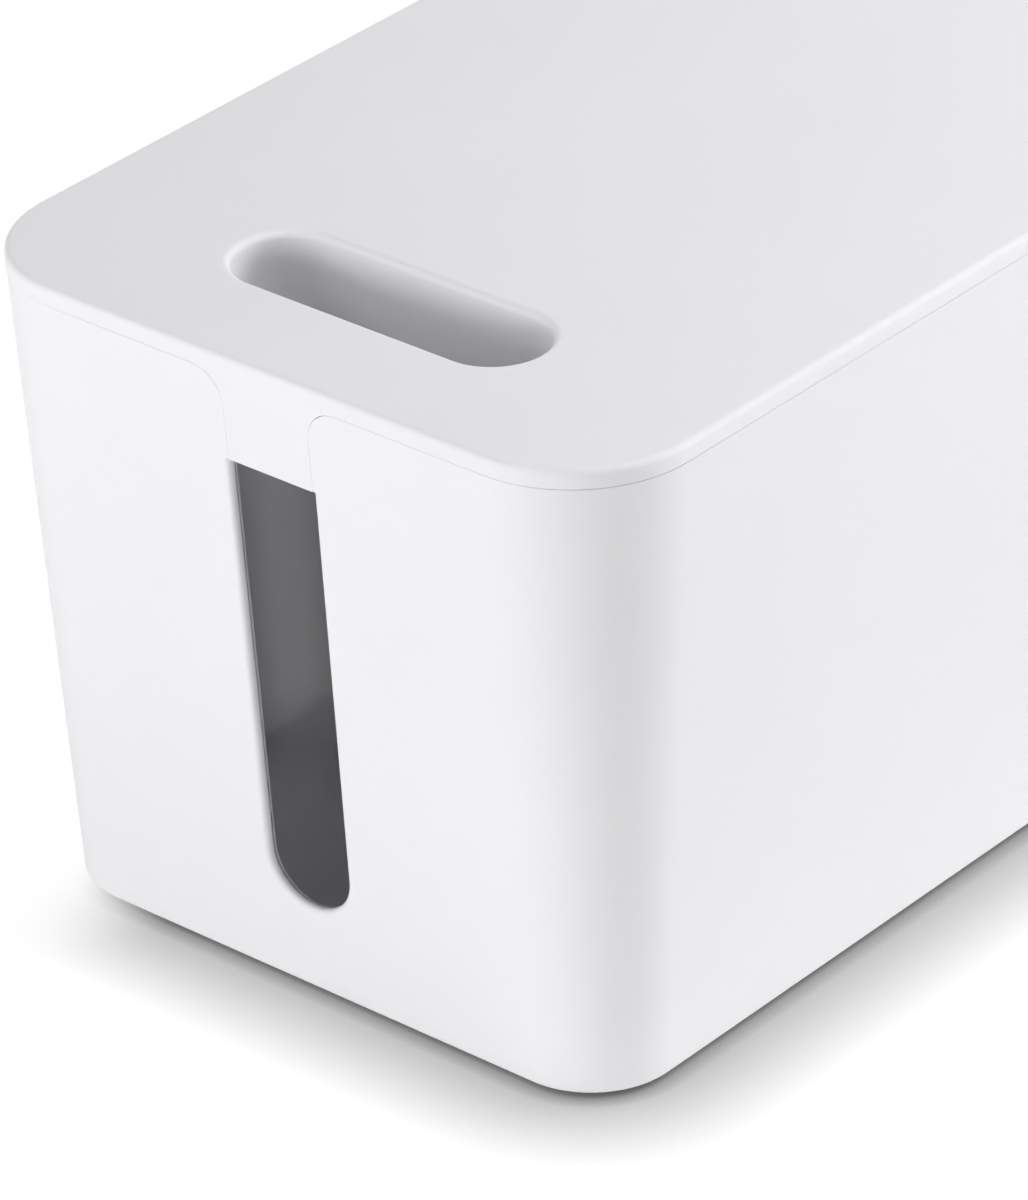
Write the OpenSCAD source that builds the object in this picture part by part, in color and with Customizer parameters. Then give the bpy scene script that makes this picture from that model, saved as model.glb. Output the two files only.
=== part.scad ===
// Cable management box: a moulded tub and its lift-off lid, for a socket strip and its cables.
// X runs along the box, Y across it and Z up. The origin is on the surface it stands on, under its middle.

/* [Box] */
// Length over the tub's rim
box_l = 400; // [340:1:460]
// Width over the tub's rim
box_w = 155; // [130:1:190]
// Height from the surface to the lid's top
box_h = 136; // [115:1:170]
// Thickness of the tub's walls
wall_t = 2.6; // [2:0.1:3]
// Thickness of the tub's floor
floor_t = 2.5; // [2:0.1:4]
// How far each wall leans in, in mm for every 100 mm down from the rim
draft = 5.6; // [2:0.1:6]
// Radius of the tub's upright corners at the rim
corner_r = 25.4; // [22:0.1:32]
// Radius where the outside of the walls turns into the underside
base_edge_r = 1.2; // [0.6:0.1:2]
// Radius where the inside of the walls turns into the floor
floor_edge_r = 2; // [1:0.1:4]

/* [Cable slots] */
// Width of each end slot just below its mouth
slot_top_w = 20.5; // [18:0.1:26]
// Width of each end slot where its round bottom starts
slot_low_w = 19.4; // [16:0.1:26]
// Height of a slot's lowest point above the tub's underside
slot_sill_h = 18.6; // [12:0.1:30]
// Radius of the two shoulders at a slot's mouth
shoulder_r = 7; // [4:0.1:9]

/* [Lid] */
// Height of the lid's edge
lid_edge_h = 4; // [3.5:0.1:7]
// Thickness of the lid's plate
lid_plate_t = 2.4; // [2:0.1:3]
// How far the lid's edge stands back from the tub's rim
lid_inset = 0.2; // [0.1:0.1:1]
// Radius of the lid's top edge
lid_edge_r = 1.3; // [0.8:0.1:2]
// Height of the shadow gap under the lid's edge
seam_h = 0.3; // [0.2:0.1:0.6]
// Depth of the shadow gap, in from the tub's rim
seam_depth = 1.3; // [1:0.1:1.6]
// Depth of the locating lip below the rim
lip_depth = 6; // [4:0.5:10]
// Thickness of the locating lip
lip_t = 1.8; // [1.2:0.1:2.4]
// Clearance between the lip and the tub's walls
lip_gap = 0.4; // [0.3:0.1:0.8]
// Length of a tongue below the rim
tongue_h = 18; // [12:0.1:26]
// Clearance between a tongue and the sides of its slot
tongue_gap = 0.3; // [0.2:0.1:0.5]

/* [Lid openings] */
// Length of an opening
opening_l = 71; // [50:0.5:90]
// Width of an opening
opening_w = 21.6; // [16:0.1:28]
// Distance from an opening's middle to the end of the rim
opening_inset = 35.3; // [30:0.1:50]
// Radius of the edge where the lid's top turns into an opening
opening_edge_r = 1.5; // [0.6:0.1:1.8]
// Height of the collar round an opening, with the plate
collar_h = 18; // [8:0.5:24]
// Thickness of the collar's wall
collar_t = 2; // [1.6:0.1:3]

/* [Feet] */
// Diameter of an anti-slip foot
foot_d = 12; // [8:0.5:14]
// Thickness of a foot
foot_t = 1.8; // [1.4:0.1:2.4]
// Depth of the recess that holds a foot
recess_h = 1; // [0.6:0.1:1.2]
// Gap round a foot in its recess
recess_gap = 0.3; // [0.2:0.1:0.5]

/* [Hidden] */
$fn = 96;
eps = 0.01; // how far a cutter reaches past the face that it opens
cut = 10; // how far a cutter reaches past a wall
slope = draft / 100; // sideways lean of a wall for each mm of height

base_z = foot_t - recess_h; // the tub's underside
rim_z = box_h - lid_edge_h; // the tub's rim
floor_z = base_z + floor_t; // the floor inside

axis_x = box_l / 2 - corner_r; // the upright axes of the four corners
axis_y = box_w / 2 - corner_r;

inner_r = corner_r - wall_t; // corner radii at the rim: inside of the tub's wall,
lip_r = inner_r - lip_gap; // outside of the lip,
pocket_r = lip_r - lip_t; // inside of the lip,
lid_r = corner_r - lid_inset; // and the lid's own edge

slot_axis_z = base_z + slot_sill_h + slot_low_w / 2; // centre of a slot's round bottom
shoulder_z = rim_z - shoulder_r; // where the shoulders start
mouth_half = slot_top_w / 2 + shoulder_r; // half the width of a slot's mouth, with its shoulders
tongue_z = rim_z - tongue_h; // the tongue's lower end

opening_x = box_l / 2 - opening_inset; // middle of an opening
foot_x = axis_x - 6; // middle of a foot
foot_y = axis_y - 4;

plastic = [0.93, 0.93, 0.94];
rubber = [0.35, 0.35, 0.36];

// Draws its children at both ends of the box, the second time mirrored
module both_ends() {
    children();
    mirror([1, 0, 0]) children();
}

// A body on the box's rounded plan. Its half profile is drawn as [distance out from a corner's axis, height],
// and goes a quarter turn round each corner and straight along each side, round a core from low to high.
module on_box_plan(low, high) {
    for (flip_x = [0, 1], flip_y = [0, 1])
        mirror([flip_x, 0, 0]) mirror([0, flip_y, 0])
            translate([axis_x, axis_y, 0]) rotate_extrude(angle = 90) children();
    for (flip_x = [0, 1])
        mirror([flip_x, 0, 0])
            translate([axis_x, axis_y, 0]) rotate([90, 0, 0]) linear_extrude(2 * axis_y) children();
    for (flip_y = [0, 1])
        mirror([0, flip_y, 0])
            translate([-axis_x, axis_y, 0]) rotate([90, 0, 90]) linear_extrude(2 * axis_x) children();
    translate([-axis_x, -axis_y, low]) cube([2 * axis_x, 2 * axis_y, high - low]);
}

// Half profile with a leaning side: rim_r out at the height of the rim, and a round lower edge
module leaning_profile(rim_r, low, high, edge_r) {
    lean = atan(slope);
    edge_x = rim_r - slope * (rim_z - low - edge_r) - edge_r / cos(lean);
    edge_z = low + edge_r;
    polygon([
        [0, low],
        [edge_x, low],
        [edge_x + edge_r * cos(lean), edge_z - edge_r * sin(lean)],
        [rim_r + slope * (high - rim_z), high],
        [0, high]
    ]);
    translate([edge_x, edge_z]) circle(edge_r);
}

// Half profile of the lid's outside: a shadow gap under its edge, and a round top edge
module lid_profile() {
    square_top = box_h - lid_edge_r;
    polygon([
        [0, rim_z],
        [corner_r - seam_depth, rim_z],
        [corner_r - seam_depth, rim_z + seam_h],
        [lid_r, rim_z + seam_h],
        [lid_r, square_top],
        [lid_r - lid_edge_r, box_h],
        [0, box_h]
    ]);
    translate([lid_r - lid_edge_r, square_top]) circle(lid_edge_r);
}

// Outline of an end slot between two heights, as [across, height], drawn smaller by a gap on each side
module slot_outline(gap, low, high) {
    top_half = slot_top_w / 2 - gap;
    low_half = slot_low_w / 2 - gap;
    lean = (top_half - low_half) / (shoulder_z - slot_axis_z);
    start_half = low_half + lean * (low - slot_axis_z);
    polygon([[-start_half, low], [start_half, low], [top_half, shoulder_z], [-top_half, shoulder_z]]);
    difference() {
        translate([-mouth_half, shoulder_z]) square([2 * mouth_half, high - shoulder_z]);
        for (side = [-1, 1])
            translate([side * mouth_half, shoulder_z]) circle(shoulder_r + gap);
    }
}

// Stands an outline of [across, height] upright and carries it along X from one place to another
module along_x(from, to) {
    translate([from, 0, 0]) rotate([90, 0, 90]) linear_extrude(to - from) children();
}

// Long hole with round ends, seen from above, grown by a margin all round
module opening_outline(margin) {
    half_w = opening_w / 2 + margin;
    straight = opening_l - opening_w;
    for (side = [-1, 1])
        translate([opening_x, side * straight / 2]) circle(half_w);
    translate([opening_x - half_w, -straight / 2]) square([2 * half_w, straight]);
}

// The round edge of an opening: what a cutter takes away above the hole's straight wall
module opening_edge() {
    straight = opening_l - opening_w;
    round_r = opening_w / 2;
    translate([opening_x, 0, box_h]) {
        for (side = [-1, 1])
            translate([0, side * straight / 2, 0]) rotate([0, 0, 90 - side * 90])
                rotate_extrude(angle = 180) opening_edge_profile(round_r);
        for (turn = [0, 180])
            rotate([0, 0, turn]) translate([0, straight / 2, 0])
                rotate([90, 0, 0]) linear_extrude(straight) opening_edge_profile(round_r);
    }
}

// Profile of that cut, as [distance out, height from the lid's top]
module opening_edge_profile(round_r) {
    difference() {
        translate([0, -opening_edge_r]) square([round_r + opening_edge_r, opening_edge_r + eps]);
        translate([round_r + opening_edge_r, -opening_edge_r]) circle(opening_edge_r);
    }
}

// One moulding: leaning walls on a rounded plan, a flat floor, a slot in each end and four foot recesses
module tub() {
    color(plastic)
        difference() {
            on_box_plan(base_z, rim_z) leaning_profile(corner_r, base_z, rim_z, base_edge_r);
            on_box_plan(floor_z, rim_z + cut) leaning_profile(inner_r, floor_z, rim_z + cut, floor_edge_r);
            both_ends() along_x(axis_x, box_l / 2 + cut) {
                slot_outline(0, slot_axis_z, rim_z);
                translate([0, slot_axis_z]) circle(slot_low_w / 2);
                translate([-mouth_half, rim_z]) square([2 * mouth_half, cut]);
            }
            for (side = [-1, 1], end = [-1, 1])
                translate([end * foot_x, side * foot_y, base_z - eps])
                    cylinder(h = recess_h + eps, d = foot_d + 2 * recess_gap);
        }
}

// Closes the top of a slot: runs on down from the lid's edge, and ends flush with the leaning end wall
module tongue() {
    high = rim_z + seam_h;
    intersection() {
        along_x(axis_x, box_l / 2 + cut) slot_outline(tongue_gap, tongue_z, high);
        translate([0, box_w / 2, 0]) rotate([90, 0, 0]) linear_extrude(box_w) polygon([
            [axis_x + lid_r, high],
            [axis_x + lip_r, high],
            [axis_x + lip_r, tongue_z],
            [box_l / 2 - slope * tongue_h, tongue_z]
        ]);
    }
}

// One moulding: a plate that rests on the rim, a locating lip that stops at the two tongues, and two
// collared openings
module lid() {
    lip_z = rim_z - lip_depth;
    color(plastic)
        difference() {
            union() {
                difference() {
                    union() {
                        on_box_plan(rim_z, box_h) lid_profile();
                        on_box_plan(lip_z, rim_z) polygon([
                            [0, lip_z],
                            [lip_r - slope * lip_depth, lip_z],
                            [lip_r, rim_z],
                            [0, rim_z]
                        ]);
                    }
                    on_box_plan(lip_z - cut, box_h - lid_plate_t) polygon([
                        [0, lip_z - cut],
                        [pocket_r - slope * lip_depth, lip_z - cut],
                        [pocket_r - slope * lip_depth, box_h - lid_plate_t],
                        [0, box_h - lid_plate_t]
                    ]);
                    both_ends() translate([axis_x, -mouth_half, lip_z - cut])
                        cube([lip_r, 2 * mouth_half, box_h - lid_plate_t - lip_z + cut]);
                }
                both_ends() translate([0, 0, box_h - collar_h])
                    linear_extrude(collar_h - lid_plate_t / 2) opening_outline(collar_t);
                both_ends() tongue();
            }
            both_ends() translate([0, 0, box_h - collar_h - cut])
                linear_extrude(collar_h + 2 * cut) opening_outline(0);
            both_ends() opening_edge();
        }
}

// Soft round pad, stuck in a recess under the tub
module foot(end, side) {
    color(rubber)
        translate([end * foot_x, side * foot_y, 0]) cylinder(h = foot_t, d = foot_d);
}

tub();
lid();
foot(-1, -1);  // foot_front_left
foot(1, -1);  // foot_front_right
foot(-1, 1);  // foot_rear_left
foot(1, 1);  // foot_rear_right
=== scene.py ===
# %% [markdown]
# # A cable management box
# The real object is a long white box that hides a socket strip and its cables. It is two mouldings: a tub
# with a tall cable slot in each end, and a loose lid with two finger openings and two tongues that close
# the tops of the slots. Four soft feet sit under the tub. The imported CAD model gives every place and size
# here, and never moves. This lesson gives it surfaces with the small roundings of a real moulding, and
# finishes to match.

# %% Load the frame
import math

import bpy
import numpy as np
from mathutils import Matrix, Vector
from mathutils.geometry import delaunay_2d_cdt


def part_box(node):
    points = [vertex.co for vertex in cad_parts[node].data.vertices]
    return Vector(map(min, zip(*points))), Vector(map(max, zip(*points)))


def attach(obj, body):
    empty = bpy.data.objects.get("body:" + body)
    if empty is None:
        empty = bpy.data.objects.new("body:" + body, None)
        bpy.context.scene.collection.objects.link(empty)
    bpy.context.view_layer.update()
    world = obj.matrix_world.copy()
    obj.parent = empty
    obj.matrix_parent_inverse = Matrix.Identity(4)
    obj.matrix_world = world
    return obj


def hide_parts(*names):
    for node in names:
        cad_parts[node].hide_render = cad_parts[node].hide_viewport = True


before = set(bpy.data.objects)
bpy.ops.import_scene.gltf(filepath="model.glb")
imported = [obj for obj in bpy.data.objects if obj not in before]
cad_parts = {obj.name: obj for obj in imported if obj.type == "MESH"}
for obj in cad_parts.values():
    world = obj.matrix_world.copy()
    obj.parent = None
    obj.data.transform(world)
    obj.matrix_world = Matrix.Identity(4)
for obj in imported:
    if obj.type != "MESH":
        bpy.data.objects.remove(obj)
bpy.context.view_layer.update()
MM = 0.001
print("CAD nodes:", ", ".join(sorted(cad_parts)))

# %% [markdown]
# ## The camera
# A product picture is taken from far away with a long lens, so that the box's edges stay almost parallel.
# The camera could be aimed with a constraint, but three directions written out as a matrix say exactly
# where it looks and how little it tilts, and nothing has to be evaluated first.

# %% Camera
CAMERA_PLACE = Vector((-1112.2, -856.6, 809.4)) * MM
LOOK_AROUND = math.radians(48.808)  # from +Y towards +X
LOOK_DOWN = math.radians(30.013)
CAMERA_ROLL = math.radians(-1.92)
LENS = 238.7  # mm, on the camera's 36 mm sensor


def make_camera():
    """Camera whose axes are its right, its up and the way back.

    Right and up are first level, then turned by the roll.
    """
    ahead = Vector((
        math.sin(LOOK_AROUND) * math.cos(LOOK_DOWN),
        math.cos(LOOK_AROUND) * math.cos(LOOK_DOWN),
        -math.sin(LOOK_DOWN),
    ))
    level = ahead.cross(Vector((0.0, 0.0, 1.0))).normalized()
    upright = level.cross(ahead)
    right = level * math.cos(CAMERA_ROLL) + upright * math.sin(CAMERA_ROLL)
    up = right.cross(ahead)
    data = bpy.data.cameras.new("camera")
    data.lens = LENS
    data.clip_start = 10 * MM
    camera = bpy.data.objects.new("camera", data)
    bpy.context.scene.collection.objects.link(camera)
    turn = Matrix((right, up, -ahead)).transposed()
    camera.matrix_world = Matrix.Translation(CAMERA_PLACE) @ turn.to_4x4()
    return camera


bpy.context.scene.camera = make_camera()
print("camera to box:", round(CAMERA_PLACE.length, 3), "m")

# %% [markdown]
# ## Materials from nodes
# A finish is a small tree of nodes. One helper adds a node, fills its sockets and links them, so each
# finish below reads as a list of what it is made of. Colours are written as the hex values that a colour
# picker shows. Blender works in linear light, so one function turns them.

# %% Helpers for materials
WHITE = "#FFFFFF"
FACTOR, COLOUR_A, COLOUR_B = 0, 6, 7  # a Mix node's input sockets when it mixes colours
MIXED_COLOUR = 2  # and its output socket


def colour(hex_value):
    """Linear colour of an sRGB hex value.

    A channel c over 0.04045 is ((c + 0.055) / 1.055) to the power 2.4, and a smaller one is c / 12.92.
    """
    channels = np.array([int(hex_value[i:i + 2], 16) for i in (1, 3, 5)]) / 255.0
    linear = np.where(channels <= 0.04045, channels / 12.92, ((channels + 0.055) / 1.055) ** 2.4)
    return (*linear.tolist(), 1.0)


def add_node(tree, kind, inputs, **settings):
    """Adds a node. inputs maps a socket's name or number to a value or to another node's output."""
    node = tree.nodes.new(kind)
    for name, value in settings.items():
        setattr(node, name, value)
    for name, value in inputs.items():
        if isinstance(value, bpy.types.NodeSocket):
            tree.links.new(value, node.inputs[name])
        else:
            node.inputs[name].default_value = value
    return node


def new_material(name):
    """An empty node material, and its tree."""
    material = bpy.data.materials.new(name)
    material.use_nodes = True
    material.node_tree.nodes.clear()
    return material, material.node_tree


# %% [markdown]
# ## The studio
# The box stands on a white table in a white room, between wide soft lamps. The picture's white ground
# could come from very strong lamps, but they would burn out the white plastic too. Instead the floor and
# the world show white only to the camera and in reflections, which Light Path can tell, and the lamps
# stay at a level at which a colour comes out about as it is written. The box's shadow on the white floor
# is mostly a painted shadow: the floor's glow is darkened by ambient occlusion, a node that tells how much
# of the sky a point sees, and beside the box it sees less. Only a faint part of it is the lamps' own.

# %% World
def seen_directly(tree):
    """1 on a ray from the camera, in a reflection or through glass, and 0 on one that only carries light."""
    path = add_node(tree, "ShaderNodeLightPath", {})
    camera_or_gloss = add_node(tree, "ShaderNodeMath", {
        0: path.outputs["Is Camera Ray"], 1: path.outputs["Is Glossy Ray"]}, operation="MAXIMUM")
    direct = add_node(tree, "ShaderNodeMath", {
        0: camera_or_gloss.outputs[0], 1: path.outputs["Is Transmission Ray"]}, operation="MAXIMUM")
    return direct.outputs[0]


def make_world():
    """World that is white where it is seen and gives no light, which is left to the lamps."""
    world = bpy.data.worlds.new("white_room")
    world.use_nodes = True
    tree = world.node_tree
    tree.nodes.clear()
    white = add_node(tree, "ShaderNodeBackground", {
        "Color": colour(WHITE), "Strength": seen_directly(tree)})
    add_node(tree, "ShaderNodeOutputWorld", {"Surface": white.outputs[0]})
    bpy.context.scene.world = world


make_world()
bpy.context.scene.view_settings.view_transform = "Standard"
print("world:", bpy.context.scene.world.name)

# %% Floor
FLOOR_HALF = 4.0
TABLE_WHITE = "#FAFAFA"  # what gives the lamps' light back to the box
SEEN_GREY = "#424242"  # the little of the lamps' light that shows where the table is seen
WHITE_SHARE = 0.97  # the rest of the table's seen brightness, which doesn't come from the lamps
SKY_LEAN = math.radians(45)  # tilts the painted shadow's sky to the rear right, darker in front
SKY_RAYS = 12  # that each point sends out to find how much of the sky it sees
WIDE_SHADOW = 23.6 * MM  # how far the soft part of the painted shadow reaches
TIGHT_SHADOW = 3.7 * MM  # and the dark part along the edge
WIDE_DEPTH = 0.8  # a larger power makes the shadow darker
TIGHT_DEPTH = 0.6
FADE_START = 37 * MM  # across the box, where the left end's shadow starts to fade out towards the rear
FADE_END = 71 * MM
FADE_LEFT = -155 * MM  # along the box, where that fade is whole and where it is over
FADE_RIGHT = -115 * MM


def openness(tree, sky_middle, reach, depth):
    """How much of the sky round sky_middle a point sees when only what is within reach counts, to a power."""
    sky = add_node(tree, "ShaderNodeAmbientOcclusion", {
        "Distance": reach, "Normal": sky_middle}, samples=SKY_RAYS)
    return add_node(tree, "ShaderNodeMath", {0: sky.outputs["AO"], 1: depth}, operation="POWER").outputs[0]


def painted_contact_shadow(tree):
    """Painted shadow: the wide part times the tight part, faded to 1, no shadow, at the rear left corner."""
    level = math.sin(SKY_LEAN) * math.sqrt(0.5)
    sky_middle = add_node(tree, "ShaderNodeCombineXYZ", {
        "X": level, "Y": level, "Z": math.cos(SKY_LEAN)}).outputs[0]
    shade = add_node(tree, "ShaderNodeMath", {
        0: openness(tree, sky_middle, WIDE_SHADOW, WIDE_DEPTH),
        1: openness(tree, sky_middle, TIGHT_SHADOW, TIGHT_DEPTH)}, operation="MULTIPLY")
    place = add_node(tree, "ShaderNodeTexCoord", {}).outputs["Object"]
    where = add_node(tree, "ShaderNodeSeparateXYZ", {0: place}).outputs
    at_left = add_node(tree, "ShaderNodeMapRange", {
        "Value": where["X"], "From Min": FADE_RIGHT, "From Max": FADE_LEFT}, interpolation_type="SMOOTHSTEP")
    faded = add_node(tree, "ShaderNodeMapRange", {
        "Value": where["Y"], "From Min": FADE_START, "From Max": FADE_END, "To Max": at_left.outputs[0],
    }, interpolation_type="SMOOTHSTEP")
    return add_node(tree, "ShaderNodeMapRange", {
        "Value": faded.outputs[0], "To Min": shade.outputs[0], "To Max": 1.0}).outputs[0]


def make_floor():
    """Square table top, one flat face, with its white material, whose glow carries the painted shadow."""
    mesh = bpy.data.meshes.new("floor")
    corners = [(x * FLOOR_HALF, y * FLOOR_HALF, 0.0) for x, y in ((-1, -1), (1, -1), (1, 1), (-1, 1))]
    mesh.from_pydata(corners, [], [(0, 1, 2, 3)])
    floor = bpy.data.objects.new("floor", mesh)
    bpy.context.scene.collection.objects.link(floor)
    material, tree = new_material("white_table")
    # the floor's glow, darkened beside the box by the painted shadow
    level = add_node(tree, "ShaderNodeMath", {0: painted_contact_shadow(tree), 1: WHITE_SHARE}, operation="MULTIPLY")
    glow = add_node(tree, "ShaderNodeEmission", {"Color": colour(WHITE), "Strength": level.outputs[0]})
    lit = add_node(tree, "ShaderNodeBsdfDiffuse", {"Color": colour(SEEN_GREY)})
    seen = add_node(tree, "ShaderNodeAddShader", {0: glow.outputs[0], 1: lit.outputs[0]})
    table = add_node(tree, "ShaderNodeBsdfDiffuse", {"Color": colour(TABLE_WHITE)})
    mixed = add_node(tree, "ShaderNodeMixShader", {
        0: seen_directly(tree), 1: table.outputs[0], 2: seen.outputs[0]})
    add_node(tree, "ShaderNodeOutputMaterial", {"Surface": mixed.outputs[0]})
    mesh.materials.append(material)
    return floor


make_floor()
print("floor:", 2 * FLOOR_HALF, "m square")

# %% Lamps
BOX_MIDDLE = Vector((-100.0, 0.0, 60.0)) * MM  # what the lamps are aimed at


def softbox(name, around, above, distance, size, power, shines=True):
    """Square area lamp that faces BOX_MIDDLE.

    It stands in a direction given in degrees from +Y towards +X and above the floor. One that doesn't shine
    gives light but no highlight, which would burn out the lid from where it mirrors the lamp.
    """
    data = bpy.data.lights.new(name, "AREA")
    data.shape = "SQUARE"
    data.size = size
    data.energy = power
    lamp = bpy.data.objects.new(name, data)
    bpy.context.scene.collection.objects.link(lamp)
    around, above = math.radians(around), math.radians(above)
    out = Vector((math.sin(around) * math.cos(above), math.cos(around) * math.cos(above), math.sin(above)))
    lamp.location = BOX_MIDDLE + distance * out
    lamp.rotation_euler = out.to_track_quat("Z", "Y").to_euler()
    lamp.visible_camera = False
    lamp.visible_glossy = shines
    print(f"{name}: {power} W, {distance} m away")
    return lamp


softbox("lamp_right", around=120, above=32, distance=1.3, size=0.6, power=11.8, shines=False)
softbox("lamp_over", around=166, above=64.5, distance=0.93, size=0.6, power=3.4)
softbox("lamp_left", around=300, above=32, distance=1.3, size=0.6, power=2.8)
softbox("lamp_low_left", around=300, above=8, distance=1.3, size=0.6, power=7.4)
softbox("lamp_small", around=229, above=10, distance=1.7, size=0.3, power=7.3, shines=False)
softbox("lamp_behind", around=35, above=12, distance=1.5, size=0.6, power=5.5, shines=False)

# %% [markdown]
# ## Sizes
# The CAD nodes' boxes give the big sizes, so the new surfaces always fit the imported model. The sizes that
# a box can't tell, such as a radius or a wall's thickness, are the mould maker's and are written here in
# millimetres.

# %% Sizes of the mouldings
tub_low, tub_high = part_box("tub")
lid_low, lid_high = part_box("lid")
UNDERSIDE = tub_low.z
RIM = tub_high.z
LID_TOP = lid_high.z
TONGUE_END = lid_low.z

CORNER_R = 25.4 * MM  # the upright corners, at the lid's edge
LID_STEP = 0.15 * MM  # how far the lid's edge stands out over the tub's wall, for a hair of shadow under it
DRAFT = 0.056  # how far a wall leans in for each step down
WALL = 2.6 * MM
TUB_FLOOR = 2.5 * MM
FLOOR_TOP = UNDERSIDE + TUB_FLOOR
BASE_EDGE_R = 1.2 * MM
FLOOR_EDGE_R = 2.0 * MM
RIM_EDGE_R = 0.08 * MM
SLOT_EDGE_R = 1.2 * MM  # a slot's edge is rounder, so that it doesn't cut into cables
SLOT_INNER_R = 0.8 * MM

AXIS_X = tub_high.x - CORNER_R  # upright axes of the corners
AXIS_Y = tub_high.y - CORNER_R

SLOT_TOP_HALF = 10.25 * MM
SLOT_LOW_HALF = 9.7 * MM
SLOT_START = 18.6 * MM  # from the underside up to the slot
SLOT_AXIS = UNDERSIDE + SLOT_START + SLOT_LOW_HALF  # centre of the slot's round bottom
SHOULDER_R = 7.0 * MM
SHOULDER = RIM - SHOULDER_R
MOUTH_HALF = SLOT_TOP_HALF + SHOULDER_R

print("tub:", [round(v / MM, 1) for v in tub_high - tub_low], "mm")

# %% [markdown]
# ## Profiles and sheets
# Both mouldings are made the way a tool path runs: a profile is carried round the box. A Bevel modifier
# on a plainer mesh could round the edges too, but here the cable slots cut the walls, and a sheet whose
# columns run along the slot's edge gives clean, even roundings everywhere, with no modifier to tune.

# %% Helpers for surfaces
INSIDE_EDGES = 1  # makes Delaunay's triangulation keep only what the edges enclose
NEAREST = 1e-7  # points closer than this would be merged


def unit(vector):
    """The vector over its own length."""
    return vector / np.linalg.norm(vector)


def rounded_profile(corners, steps=5):
    """Points of a profile through corners of (across, up, radius), each corner turned by an arc.

    An arc starts radius * tan(half the turn) before its corner, and its centre is one radius to the side that
    the profile turns to. A point half a radius before and after each arc keeps the smooth shading on the arc.
    """
    corners = np.array([(*corner, 0.0)[:3] for corner in corners])
    rows = [corners[:1, :2]]
    for before, here, after in zip(corners, corners[1:], corners[2:]):
        way_in = unit(here[:2] - before[:2])
        way_out = unit(after[:2] - here[:2])
        turn = math.atan2(way_in[0] * way_out[1] - way_in[1] * way_out[0], way_in @ way_out)
        radius = here[2]
        start = here[:2] - way_in * radius * math.tan(abs(turn) / 2)
        side = math.copysign(1.0, turn) * np.array((-way_in[1], way_in[0]))
        across_side = np.array((-side[1], side[0]))
        angles = np.linspace(0.0, turn, steps + 1)[:, None]
        arc = start + radius * (side - side * np.cos(angles) - across_side * np.sin(angles))
        rows += [arc[:1] - way_in * radius / 2, arc, arc[-1:] + way_out * radius / 2]
    return np.concatenate([*rows, corners[-1:, :2]])


def between(first, last, count):
    """Evenly spaced rows between two rows of points, without the two: first + share * (last - first)."""
    share = (np.arange(1, count + 1) / (count + 1))[:, None]
    return first[:, None] + share * (last - first)[:, None]


def carried_round(cores, outward, profile):
    """A profile of (reach, height) at each column: core + reach * outward across, and height up."""
    reach = profile[..., 0]
    height = np.broadcast_to(profile[..., 1], (len(cores), profile.shape[-2]))
    across = cores[:, None] + reach[..., None] * outward[:, None]
    return np.concatenate([across, height[..., None]], axis=2)


def whole_ring(quarter):
    """Mirrors one quarter's columns, from the right end's middle to the rear side's middle, to all four."""
    mirrored = quarter[::-1] * (-1, 1, 1)
    turned = quarter * (-1, -1, 1)
    returned = quarter[::-1] * (1, -1, 1)
    return np.concatenate([part[:-1] for part in (quarter, mirrored, turned, returned)])


def ring_quads(columns, rows, first):
    """Quads of a sheet that closes on itself.

    Each quad joins two neighbours in a column with the same two in the next column.
    """
    column = np.arange(columns)[:, None]
    row = np.arange(rows - 1)
    here = first + column * rows + row
    there = first + (column + 1) % columns * rows + row
    return np.stack([here, here + 1, there + 1, there], axis=-1).reshape(-1, 4)


def flat_fill(points, rings, facing_up):
    """Triangles of a level face inside the first ring of point numbers and outside the others.

    Delaunay's triangles are as plump as the points allow, which keeps the shading even. They also fill the
    holes. The holes are convex, so a triangle in one has all three corners on that hole's ring.
    """
    numbers = np.concatenate(rings)
    owner = np.repeat(np.arange(len(rings)), [len(ring) for ring in rings])
    following = np.concatenate([np.roll(np.nonzero(owner == ring)[0], -1) for ring in range(len(rings))])
    edges = np.stack([np.arange(len(numbers)), following], axis=1).tolist()
    flat = [Vector(point) for point in points[numbers, :2]]
    triangles = np.array(delaunay_2d_cdt(flat, edges, [], INSIDE_EDGES, NEAREST)[2])
    first, second, third = owner[triangles].T
    in_hole = (first > 0) & (first == second) & (first == third)
    triangles = numbers[triangles[~in_hole]]
    return triangles if facing_up else triangles[:, ::-1]


class Shell:
    """Collects sheets and level faces that share points, and makes one closed mesh of them."""

    def __init__(self):
        self.points = np.zeros((0, 3))
        self.faces = []

    def sheet(self, ring):
        """Adds a closed ring of columns, and returns the point numbers of its first and last row."""
        columns, rows, _ = ring.shape
        first = len(self.points)
        self.points = np.concatenate([self.points, ring.reshape(-1, 3)])
        self.faces += ring_quads(columns, rows, first).tolist()
        start = first + np.arange(columns) * rows
        return start, start + rows - 1

    def fill(self, rings, facing_up):
        """Adds the level face between the rings."""
        self.faces += flat_fill(self.points, rings, facing_up).tolist()

    def piece(self, name, material, body, slot, *nodes):
        """Makes the object, lets it ride on its body and stand for its CAD nodes, and prints its measures."""
        mesh = bpy.data.meshes.new(name)
        mesh.from_pydata(self.points.tolist(), [], self.faces)
        mesh.shade_smooth()
        mesh.materials.append(material)
        made = bpy.data.objects.new(name, mesh)
        bpy.context.scene.collection.objects.link(made)
        made.modifiers.new("even shading", "WEIGHTED_NORMAL")
        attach(made, body)
        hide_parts(*nodes)
        report_mesh(made)
        return made


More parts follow.
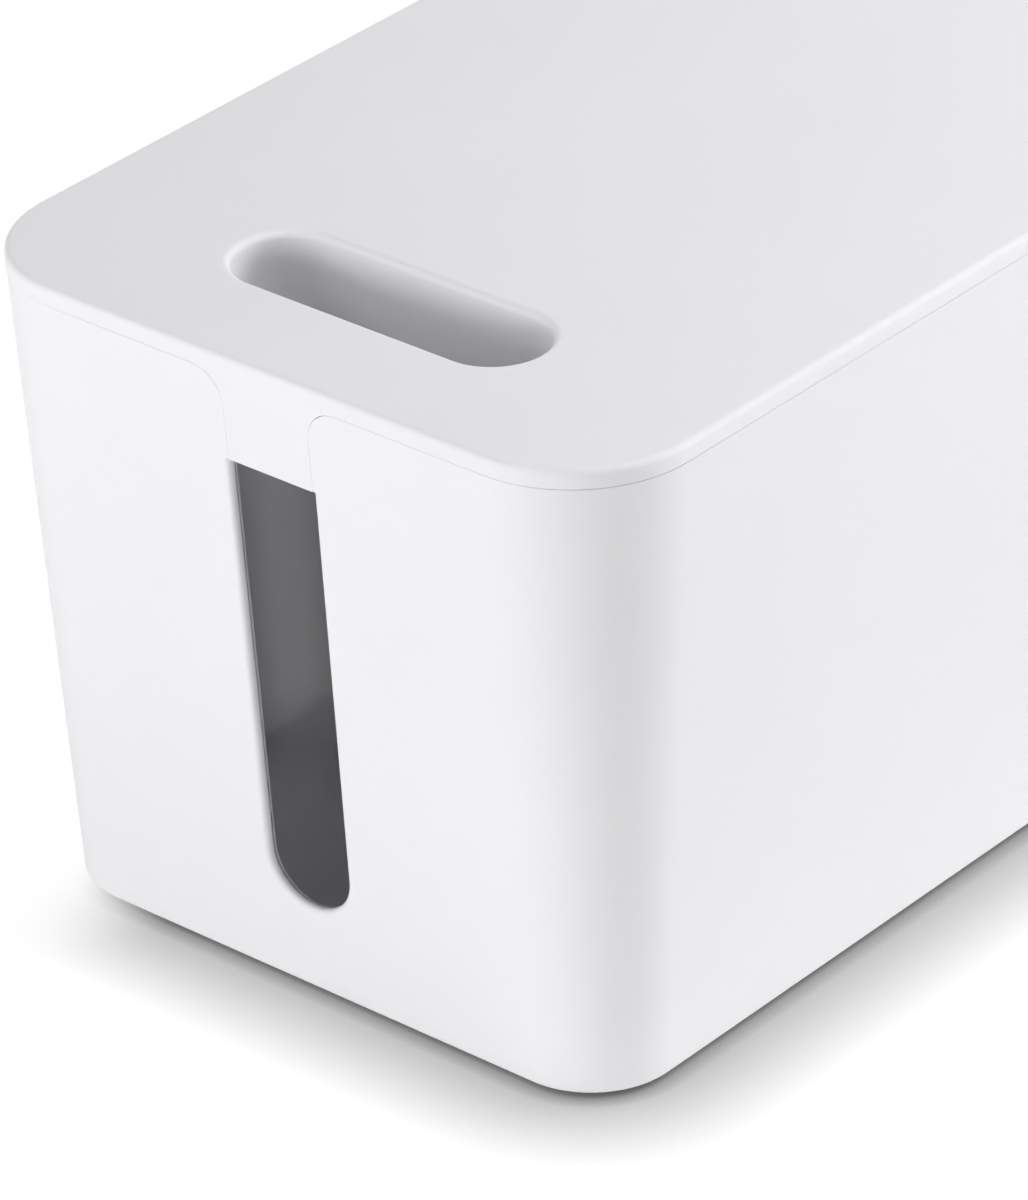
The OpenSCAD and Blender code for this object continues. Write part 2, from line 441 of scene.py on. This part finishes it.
def report_mesh(made):
    """Prints a piece's size, its volume and its open edges, which are none.

    The volume is the sum of the tetrahedra between the origin and the triangles: a . (b x c) / 6.
    """
    mesh = made.data
    mesh.calc_loop_triangles()
    points = np.empty(len(mesh.vertices) * 3)
    mesh.vertices.foreach_get("co", points)
    points = points.reshape(-1, 3)
    corners = np.empty(len(mesh.loop_triangles) * 3, int)
    mesh.loop_triangles.foreach_get("vertices", corners)
    a, b, c = points[corners.reshape(-1, 3)].transpose(1, 0, 2)
    volume = np.einsum("ij,ij->", a, np.cross(b, c)) / 6
    edges = np.empty(len(mesh.loops), int)
    mesh.loops.foreach_get("edge_index", edges)
    open_edges = int(np.count_nonzero(np.bincount(edges, minlength=len(mesh.edges)) != 2))
    size = (points.max(0) - points.min(0)) / MM
    print(f"{made.name}: {size.round(1)} mm, {volume * 1e6:.1f} cm3,", end=" ")
    print(f"{len(a)} triangles, {open_edges} open edges")


# %% [markdown]
# ## White moulded plastic
# The tub and the lid are injection-moulded ABS, a tough white plastic. The mould's steel was spark-eroded
# to a fine even texture, which gives the eye a satin: broad, soft highlights and no mirror image. The
# true grain is about 0.05 mm, too fine to show, so it is drawn seven times coarser and very shallow. The
# melt's flow leaves the gloss a little uneven over the length of a finger. An image of plastic could be
# wrapped round the box, but noise in object space needs no unwrapping and has no seams.

# %% Moulded ABS
ABS_WHITE = "#EDEDEF"
ABS_SHADE = "#EAEAEC"
GRAIN_SIZE = 0.35 * MM
GRAIN_DEPTH = 0.0015 * MM
FLOW_SIZE = 45 * MM
USUAL_NOISE = (0.3, 0.7)  # between these the noise has nearly all its values
SATIN = (0.62, 0.7)  # the roughness that they are turned to


def moulded_abs():
    """White ABS: two near whites and the gloss vary slowly with the flow, and a fine grain lies over all."""
    material, tree = new_material("injection_moulded_abs")
    place = add_node(tree, "ShaderNodeTexCoord", {}).outputs["Object"]
    flow = add_node(tree, "ShaderNodeTexNoise", {"Vector": place, "Scale": 1 / FLOW_SIZE, "Detail": 2.0})
    tone = add_node(tree, "ShaderNodeMix", {
        FACTOR: flow.outputs["Fac"],
        COLOUR_A: colour(ABS_WHITE),
        COLOUR_B: colour(ABS_SHADE),
    }, data_type="RGBA")
    gloss = add_node(tree, "ShaderNodeMapRange", {
        "Value": flow.outputs["Fac"],
        "From Min": USUAL_NOISE[0],
        "From Max": USUAL_NOISE[1],
        "To Min": SATIN[0],
        "To Max": SATIN[1],
    })
    grain = add_node(tree, "ShaderNodeTexNoise", {"Vector": place, "Scale": 1 / GRAIN_SIZE, "Detail": 1.0})
    bump = add_node(tree, "ShaderNodeBump", {
        "Height": grain.outputs["Fac"], "Strength": 0.5, "Distance": GRAIN_DEPTH})
    plastic = add_node(tree, "ShaderNodeBsdfPrincipled", {
        "Base Color": tone.outputs[MIXED_COLOUR],
        "Roughness": gloss.outputs[0],
        "Normal": bump.outputs[0],
        "IOR": 1.53,
    })
    add_node(tree, "ShaderNodeOutputMaterial", {"Surface": plastic.outputs[0]})
    return material


abs_plastic = moulded_abs()
print("material:", abs_plastic.name)

# %% [markdown]
# ## The tub
# The real tub is one moulding with leaning walls, so that it leaves the mould, and a tall slot in each
# end. It could be cut from a rounded box with a Boolean, but the cut would leave sharp, ragged edges.
# Here a sheet runs from the floor inside, up the wall, over the edge and down the outside to the
# underside. Its columns stand along the top edge, which dips down one side of the slot, round its bottom
# and up again, so the rounding follows the edge all the way. It is wide in the slot, where cables lie on
# it, and very small at the rim.

# %% The tub's columns
def wall_reach(height):
    """How far a corner's outside is from its axis: the radius less the lid's step and the wall's lean."""
    return CORNER_R - LID_STEP - DRAFT * (RIM - height)


def quarter_turn(steps):
    """Angles from 0 to a quarter turn."""
    return np.linspace(0.0, math.pi / 2, steps + 1)


def joined(*stretches):
    """Stretches of columns end to end. Where two meet, the column that they share is kept once."""
    return np.concatenate([stretches[0], *(stretch[1:] for stretch in stretches[1:])])


def plan_quarter(end_across, corner_steps=28, side_steps=12):
    """Core points and outward directions of a quarter of the box.

    They go along the end, a quarter turn round the corner, then along the side.
    """
    corner = quarter_turn(corner_steps)[1:]
    side = np.linspace(AXIS_X, 0.0, side_steps + 1)[1:]
    across = np.concatenate([end_across, np.full(corner_steps + side_steps, AXIS_Y)])
    along = np.concatenate([np.full(len(end_across) + corner_steps, AXIS_X), side])
    angle = np.concatenate([np.zeros(len(end_across)), corner, np.full(side_steps, math.pi / 2)])
    return np.stack([along, across], axis=1), np.stack([np.cos(angle), np.sin(angle)], axis=1)


SHARPENING = 0.25 * MM  # height above the tongue's end in which the slot's edge turns from round to sharp
BOTTOM_SPREAD = 14.0 * MM  # where, across the underside, the columns of the slot's bottom stop
SIDE_SPREAD = 32.0 * MM  # and those of its side
SHOULDER_SPREAD = 37.0 * MM  # and those of its shoulder

bottom = quarter_turn(18)
shoulder = quarter_turn(14)
tongue_share = (TONGUE_END - SLOT_AXIS) / (SHOULDER - SLOT_AXIS)  # where the tongue ends, up the slot's side
short = SHARPENING / (SHOULDER - SLOT_AXIS)
slot_side = np.concatenate([
    np.linspace(0.0, tongue_share - 2 * short, 13),
    np.linspace(tongue_share - short, tongue_share + 2 * short, 4),
    np.linspace(tongue_share + 8 * short, 1.0, 3),
])
end_rim = np.linspace(MOUTH_HALF, AXIS_Y, 9)
edge_across = joined(
    SLOT_LOW_HALF * np.sin(bottom),
    SLOT_LOW_HALF + (SLOT_TOP_HALF - SLOT_LOW_HALF) * slot_side,
    MOUTH_HALF - SHOULDER_R * np.cos(shoulder),
    end_rim,
)
edge_height = joined(
    SLOT_AXIS - SLOT_LOW_HALF * np.cos(bottom),
    SLOT_AXIS + (SHOULDER - SLOT_AXIS) * slot_side,
    SHOULDER + SHOULDER_R * np.sin(shoulder),
    np.full(len(end_rim), RIM),
)
edge_facing = joined(  # which way is out of the plastic along the edge: 0 is +Y, a quarter turn is up
    math.pi / 2 + bottom,
    np.full(len(slot_side), math.pi),
    math.pi - shoulder,
    np.full(len(end_rim), math.pi / 2),
)
edge_at_rim = joined(  # 0 where cables touch the edge, 1 where the lid closes it and it is sharp like the rim
    np.zeros(len(bottom)),
    np.clip((slot_side - tongue_share) / short, 0.0, 1.0),
    np.ones(len(shoulder)),
    np.ones(len(end_rim)),
)
base_across = joined(  # where the same columns meet the underside, spread out so that none crosses another
    np.linspace(0.0, BOTTOM_SPREAD, len(bottom)),
    np.linspace(BOTTOM_SPREAD, SIDE_SPREAD, len(slot_side)),
    np.linspace(SIDE_SPREAD, SHOULDER_SPREAD, len(shoulder)),
    np.linspace(SHOULDER_SPREAD, AXIS_Y, len(end_rim)),
)
print("columns along half an end:", len(edge_across))

# %% The tub's sheet
FLAT_RIM = 5 * MM  # level ring left round the floor's and the underside's flat face


def edge_rows(cores, outward, height, facing, profile, reach_at):
    """Rows over an edge.

    The profile gives (depth in from the outside, step out of the plastic along facing). A step goes up by the
    sine of facing and sideways by its cosine.
    """
    depth = profile[..., 0]
    step = profile[..., 1]
    rise = height[:, None] + step * np.sin(facing)[:, None]
    sideways = step * np.cos(facing)[:, None]
    across = cores[:, None] + (reach_at(rise) - depth)[..., None] * outward[:, None]
    across[..., 1] += sideways
    return np.concatenate([across, rise[..., None]], axis=2)


def wall_edge(inner_r, outer_r):
    """Profile over the wall's edge, as (depth in from the outside, step out of the plastic)."""
    return rounded_profile([
        (WALL, -4 * SLOT_INNER_R),
        (WALL, 0.0, inner_r),
        (0.0, 0.0, outer_r),
        (0.0, -2.5 * SLOT_EDGE_R),
    ], steps=7)


def padded_columns(values, count, fill):
    """The end's column values, followed by the fill value for the columns of the corner and the side."""
    return np.concatenate([values, np.full(count - len(values), fill)])


def tub_sheet():
    """The ring of columns from the floor inside, over the edge, to the underside."""
    cores, outward = plan_quarter(edge_across)
    base_cores, _ = plan_quarter(base_across)
    height = padded_columns(edge_height, len(cores), RIM)
    facing = padded_columns(edge_facing, len(cores), math.pi / 2)
    inner_foot = wall_reach(FLOOR_TOP) - WALL
    foot_up = FLOOR_TOP + 3 * FLOOR_EDGE_R
    floor_profile = rounded_profile([
        (inner_foot - FLAT_RIM, FLOOR_TOP),
        (inner_foot, FLOOR_TOP, FLOOR_EDGE_R),
        (wall_reach(foot_up) - WALL, foot_up),
    ])
    base_up = UNDERSIDE + 3 * BASE_EDGE_R
    base_profile = rounded_profile([
        (wall_reach(base_up), base_up),
        (wall_reach(UNDERSIDE), UNDERSIDE, BASE_EDGE_R),
        (wall_reach(UNDERSIDE) - FLAT_RIM, UNDERSIDE),
    ])
    at_rim = padded_columns(edge_at_rim, len(cores), 1.0)[:, None, None]
    slot_edge = wall_edge(SLOT_INNER_R, SLOT_EDGE_R)
    rim_edge = wall_edge(RIM_EDGE_R, RIM_EDGE_R)
    edge_profile = (1 - at_rim) * slot_edge + at_rim * rim_edge
    floor_rows = carried_round(base_cores, outward, floor_profile)
    edge = edge_rows(cores, outward, height, facing, edge_profile, wall_reach)
    base_rows = carried_round(base_cores, outward, base_profile)
    return whole_ring(np.concatenate([
        floor_rows,
        between(floor_rows[:, -1], edge[:, 0], 12),
        edge,
        between(edge[:, -1], base_rows[:, 0], 12),
        base_rows,
    ], axis=1))


# %% The tub's foot recesses
FEET = ["foot_front_left", "foot_front_right", "foot_rear_left", "foot_rear_right"]
RECESS_GAP = 0.3 * MM
RECESS_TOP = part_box(FEET[0])[1].z
RECESS_EDGE_R = 0.25 * MM


def disc_columns(centre, steps=48):
    """Core points, all at the centre, and outward directions of a full circle."""
    angle = np.linspace(0.0, 2 * math.pi, steps, endpoint=False)
    return np.tile(centre, (steps, 1)), np.stack([np.cos(angle), np.sin(angle)], axis=1)


def foot_centre(node):
    """Middle of a foot in plan, and its radius."""
    low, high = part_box(node)
    return np.array(((low.x + high.x) / 2, (low.y + high.y) / 2)), (high.x - low.x) / 2


def recess_sheet(node):
    """Round recess of a foot: from the underside over a small edge, up the wall and in along its top."""
    centre, radius = foot_centre(node)
    radius += RECESS_GAP
    profile = rounded_profile([
        (radius + 4 * RECESS_EDGE_R, UNDERSIDE),
        (radius, UNDERSIDE, RECESS_EDGE_R),
        (radius, RECESS_TOP, RECESS_EDGE_R),
        (radius - 4 * RECESS_EDGE_R, RECESS_TOP),
    ], steps=3)
    return carried_round(*disc_columns(centre), profile)


# %% Make the tub
def make_tub():
    """Closes the sheet with the flat floor and the underside, which has the four recesses in it."""
    shell = Shell()
    floor_ring, underside_ring = shell.sheet(tub_sheet())
    shell.fill([floor_ring], facing_up=True)
    mouths = []
    for node in FEET:
        mouth, top = shell.sheet(recess_sheet(node))
        shell.fill([top], facing_up=False)
        mouths.append(mouth)
    shell.fill([underside_ring, *mouths], facing_up=False)
    return shell.piece("tub_shell", abs_plastic, "base", "white_plastic", "tub")


make_tub()

# %% [markdown]
# ## The lid
# The lid is a flat plate with a rounded edge. It rests on the tub's rim with a hair of shadow under its
# edge, and a lip under it finds the tub's walls. At each end its edge runs on down into a tongue that
# closes the slot's top, so no joint shows between the two. A tongue as a separate block would leave a
# line there. So the lid is a sheet like the tub's: its columns stand along the lower edge, which at the
# slot flares down, round the tongue and up again.

# %% Sizes of the lid
LID_REACH = CORNER_R
LID_EDGE_R = 1.3 * MM
LID_SOFT_R = 0.08 * MM  # the lid's small edges
PLATE = 2.4 * MM
PLATE_UNDER = LID_TOP - PLATE
POCKET_EDGE_R = 0.8 * MM

SEAM_GAP = 0.16 * MM
SEAM = RIM + SEAM_GAP  # lower end of the lid's edge, over the shadow gap
SEAM_DEPTH = 1.3 * MM
SEAT_SLOPE = 0.15 * MM  # in which the edge's underside comes down from the seam to its seat on the rim
SEAT_EDGE_R = 0.02 * MM

LIP_DEPTH = 6.0 * MM
LIP_FIT = 0.4 * MM  # how far the lip stands inside a wall that would be flush with the lid's edge
LIP_REACH = CORNER_R - WALL - LIP_FIT
LIP_THICKNESS = 1.8 * MM
LIP_STARTS = (18.5 * MM, 24.0 * MM)  # from the tongue's middle: where the lip begins, and where it is whole

TONGUE_GAP = 0.02 * MM
TONGUE_CORNER_R = 0.3 * MM
STEP_HEIGHT = 1.5 * MM  # in which the tongue's front comes back from the lid's edge to the wall
FRONT_SHARES = np.array((0.02, 0.05, 0.08, 0.12, 0.5))[:, None]  # how far down the front its rows are

# %% The lid's columns
LOW_END_SPREAD = 3.0 * MM  # where, across the lid's top, the columns of the tongue's lower end stop
LOW_CORNER_SPREAD = 3.8 * MM  # and those of its corner
TONGUE_SPREAD = 7.5 * MM  # and those of its side

tongue_side_low = SLOT_LOW_HALF - TONGUE_GAP + (
    (SLOT_TOP_HALF - SLOT_LOW_HALF) * (TONGUE_END - SLOT_AXIS) / (SHOULDER - SLOT_AXIS))
flare_r = SHOULDER_R + TONGUE_GAP
low_end = np.linspace(0.0, tongue_side_low - TONGUE_CORNER_R, 9)
low_corner = quarter_turn(8)
tongue_side = np.linspace(0.0, 1.0, 9)
flare = quarter_turn(14)
band = joined(np.linspace(MOUTH_HALF, LIP_STARTS[1], 15), np.linspace(LIP_STARTS[1], AXIS_Y, 8))
skin_across = joined(
    low_end,
    tongue_side_low - TONGUE_CORNER_R + TONGUE_CORNER_R * np.sin(low_corner),
    tongue_side_low + (SLOT_TOP_HALF - TONGUE_GAP - tongue_side_low) * tongue_side,
    MOUTH_HALF - flare_r * np.cos(flare),
    band,
)
skin_height = joined(
    np.full(len(low_end), TONGUE_END),
    TONGUE_END + TONGUE_CORNER_R - TONGUE_CORNER_R * np.cos(low_corner),
    TONGUE_END + TONGUE_CORNER_R + (SHOULDER - TONGUE_END - TONGUE_CORNER_R) * tongue_side,
    SHOULDER + (SEAM - SHOULDER) * np.sin(flare),
    np.full(len(band), SEAM),
)
skin_facing = joined(
    np.full(len(low_end), -math.pi / 2),
    low_corner - math.pi / 2,
    np.zeros(len(tongue_side)),
    -flare,
    np.full(len(band), -math.pi / 2),
)
top_across = joined(  # where the same columns leave the lid's top edge
    np.linspace(0.0, LOW_END_SPREAD, len(low_end)),
    np.linspace(LOW_END_SPREAD, LOW_CORNER_SPREAD, len(low_corner)),
    np.linspace(LOW_CORNER_SPREAD, TONGUE_SPREAD, len(tongue_side)),
    np.linspace(TONGUE_SPREAD, MOUTH_HALF, len(flare)),
    band,
)
print("tongue:", round(2 * tongue_side_low / MM, 1), "mm wide")
print("it ends", round((RIM - TONGUE_END) / MM, 1), "mm below the rim")

# %% Profiles under the lid's edge
LIP_FRONT = LID_REACH - LIP_REACH
LIP_BACK = LIP_FRONT + DRAFT * LIP_DEPTH + LIP_THICKNESS


def lip_profile():
    """Profile in under the edge, as (depth in, step down): the gap, the seat, down the lip and up."""
    lip_low = SEAM - RIM + LIP_DEPTH
    return rounded_profile([
        (0.0, -2 * LID_SOFT_R),
        (0.0, 0.0, LID_SOFT_R),
        (SEAM_DEPTH - SEAT_SLOPE, 0.0, SEAT_EDGE_R),
        (SEAM_DEPTH, SEAM - RIM, SEAT_EDGE_R),
        (LIP_FRONT, SEAM - RIM, LID_SOFT_R),
        (LIP_FRONT + DRAFT * LIP_DEPTH, lip_low, LID_SOFT_R),
        (LIP_BACK, lip_low, LID_SOFT_R),
        (LIP_BACK, lip_low - 3 * LID_SOFT_R),
    ], steps=4)


def tongue_profile(count):
    """Profile of count points round the tongue's edge, from its front to its back."""
    ends = rounded_profile([
        (0.0, -2 * LID_SOFT_R),
        (0.0, 0.0, LID_SOFT_R),
        (LIP_FRONT, 0.0, LID_SOFT_R),
        (LIP_FRONT, -2 * LID_SOFT_R),
    ], steps=4)
    half = len(ends) // 2
    middle = between(ends[None, half - 1], ends[None, half], count - len(ends))[0]
    return np.concatenate([ends[:half], middle, ends[half:]])


# %% The lid's sheet
def eased(share):
    """Goes from 0 to 1 with no kink at either end: 3 t squared less 2 t cubed."""
    share = np.clip(share, 0.0, 1.0)
    return share * share * (3.0 - 2.0 * share)


def lid_front(height):
    """Reach of the lid's outside: LID_REACH down to the seam, then less a step and the wall's lean.

    The step grows from 0 to LID_STEP within STEP_HEIGHT, so that the tongue is flush with the wall.
    """
    step = LID_STEP * eased((SEAM - height) / STEP_HEIGHT)
    return LID_REACH - step - DRAFT * np.maximum(RIM - height, 0.0)


def front_rows(upper, lower):
    """Rows down the lid's front between two rows of points. On the box's end they follow lid_front."""
    rows = upper[:, None] + FRONT_SHARES * (lower - upper)[:, None]
    end = slice(len(skin_across))
    rows[end, :, 0] = AXIS_X + lid_front(rows[end, :, 2])
    return rows


def lid_sheet():
    """The ring of columns from the flat top, over the edge, under the seat and the lip, to the underside."""
    cores, outward = plan_quarter(skin_across)
    top_cores, _ = plan_quarter(top_across)
    height = padded_columns(skin_height, len(cores), SEAM)
    facing = padded_columns(skin_facing, len(cores), -math.pi / 2)
    whole_lip = eased((cores[:, 1] - LIP_STARTS[0]) / (LIP_STARTS[1] - LIP_STARTS[0]))
    whole_lip[:len(skin_across) - len(band)] = 0.0
    top_profile = rounded_profile([
        (LID_REACH - 2 * LID_EDGE_R, LID_TOP),
        (LID_REACH, LID_TOP, LID_EDGE_R),
        (LID_REACH, SEAM + 3 * LID_SOFT_R),
    ], steps=8)
    over_lip = lip_profile()
    over_tongue = tongue_profile(len(over_lip))
    share = whole_lip[:, None, None]
    edge_profile = share * over_lip + (1 - share) * over_tongue
    edge = edge_rows(cores, outward, height, facing, edge_profile, lid_front)
    pocket_reach = LID_REACH - LIP_BACK
    pocket_profile = rounded_profile([
        (pocket_reach, PLATE_UNDER - 2 * POCKET_EDGE_R),
        (pocket_reach, PLATE_UNDER, POCKET_EDGE_R),
        (pocket_reach - 3 * POCKET_EDGE_R, PLATE_UNDER),
    ])
    wider = np.zeros((len(cores), 1, 2))
    wider[..., 0] = (1 - whole_lip[:, None]) * (LIP_REACH - pocket_reach)
    top_rows = carried_round(top_cores, outward, top_profile)
    pocket_rows = carried_round(top_cores, outward, pocket_profile + wider)
    return whole_ring(np.concatenate([
        top_rows,
        front_rows(top_rows[:, -1], edge[:, 0]),
        edge,
        between(edge[:, -1], pocket_rows[:, 0], 5),
        pocket_rows,
    ], axis=1))


# %% The finger openings
OPENING_LENGTH = 71.0 * MM
OPENING_HALF = 10.8 * MM
OPENING_EDGE_R = 1.5 * MM
END_TO_OPENING = 35.3 * MM  # from the rim's end to the opening's middle
OPENING_X = tub_high.x - END_TO_OPENING
COLLAR = 2.0 * MM
COLLAR_DEPTH = 18.0 * MM
COLLAR_LOW = LID_TOP - COLLAR_DEPTH
COLLAR_EDGE_R = 0.5 * MM


def opening_sheet(end):
    """Collar of one opening: along the underside, down outside, round the foot, up inside and out on top.

    Its columns go round a straight core with half a turn at each end of it.
    """
    half_turn = np.linspace(0.0, math.pi, 33)
    angle = np.concatenate([half_turn, half_turn + math.pi])
    straight = (OPENING_LENGTH - 2 * OPENING_HALF) / 2
    core_y = np.repeat((straight, -straight), len(half_turn))
    cores = np.stack([np.full(len(angle), end * OPENING_X), core_y], axis=1)
    outward = np.stack([np.cos(angle), np.sin(angle)], axis=1)
    outside = OPENING_HALF + COLLAR
    profile = rounded_profile([
        (outside + 4 * COLLAR_EDGE_R, PLATE_UNDER),
        (outside, PLATE_UNDER, COLLAR_EDGE_R),
        (outside, COLLAR_LOW, COLLAR_EDGE_R),
        (OPENING_HALF, COLLAR_LOW, COLLAR_EDGE_R),
        (OPENING_HALF, LID_TOP, OPENING_EDGE_R),
        (OPENING_HALF + 2 * OPENING_EDGE_R, LID_TOP),
    ], steps=7)
    return carried_round(cores, outward, profile)


# %% Make the lid
def make_lid():
    """Closes the sheet with the flat top and the plate's underside, which share the two openings."""
    shell = Shell()
    top_ring, pocket_ring = shell.sheet(lid_sheet())
    collars = [shell.sheet(opening_sheet(end)) for end in (-1, 1)]
    shell.fill([top_ring, *(upper for _, upper in collars)], facing_up=True)
    shell.fill([pocket_ring, *(lower for lower, _ in collars)], facing_up=False)
    return shell.piece("lid_cover", abs_plastic, "lid", "white_plastic", "lid")


make_lid()

# %% [markdown]
# ## The feet
# Four soft pads keep the box from sliding. Each is punched from a sheet of matt elastomer and stuck into
# its recess, so it is a flat disc with a slightly softened rim. A profile carried round a circle makes
# it, and the recess under the tub hides all but its lower half.

# %% Foot elastomer
PAD_GREY = "#5A5A5C"
PAD_DUST = "#6B6B6C"
PORE_SIZE = 0.6 * MM
PORE_DEPTH = 0.05 * MM


def matt_elastomer():
    """Dark grey elastomer: rough, with a fine pored skin that catches a little dust."""
    material, tree = new_material("punched_elastomer")
    place = add_node(tree, "ShaderNodeTexCoord", {}).outputs["Object"]
    pores = add_node(tree, "ShaderNodeTexNoise", {"Vector": place, "Scale": 1 / PORE_SIZE, "Detail": 3.0})
    tone = add_node(tree, "ShaderNodeMix", {
        FACTOR: pores.outputs["Fac"],
        COLOUR_A: colour(PAD_GREY),
        COLOUR_B: colour(PAD_DUST),
    }, data_type="RGBA")
    bump = add_node(tree, "ShaderNodeBump", {
        "Height": pores.outputs["Fac"], "Strength": 0.6, "Distance": PORE_DEPTH})
    skin = add_node(tree, "ShaderNodeBsdfPrincipled", {
        "Base Color": tone.outputs[MIXED_COLOUR], "Normal": bump.outputs[0], "Roughness": 0.85, "IOR": 1.5})
    add_node(tree, "ShaderNodeOutputMaterial", {"Surface": skin.outputs[0]})
    return material


# %% Make the feet
FOOT_EDGE_R = 0.4 * MM


def make_foot(node, material):
    """Flat disc: outwards along its top, over the rounded rim and back along the bottom."""
    centre, radius = foot_centre(node)
    low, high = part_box(node)
    profile = rounded_profile([
        (radius - 4 * FOOT_EDGE_R, high.z),
        (radius, high.z, FOOT_EDGE_R),
        (radius, low.z, FOOT_EDGE_R),
        (radius - 4 * FOOT_EDGE_R, low.z),
    ])
    shell = Shell()
    top, under = shell.sheet(carried_round(*disc_columns(centre), profile))
    shell.fill([top], facing_up=True)
    shell.fill([under], facing_up=False)
    return shell.piece(node + "_pad", material, "base", "foot_rubber", node)


elastomer = matt_elastomer()
print("material:", elastomer.name)
for foot in FEET:
    make_foot(foot, elastomer)
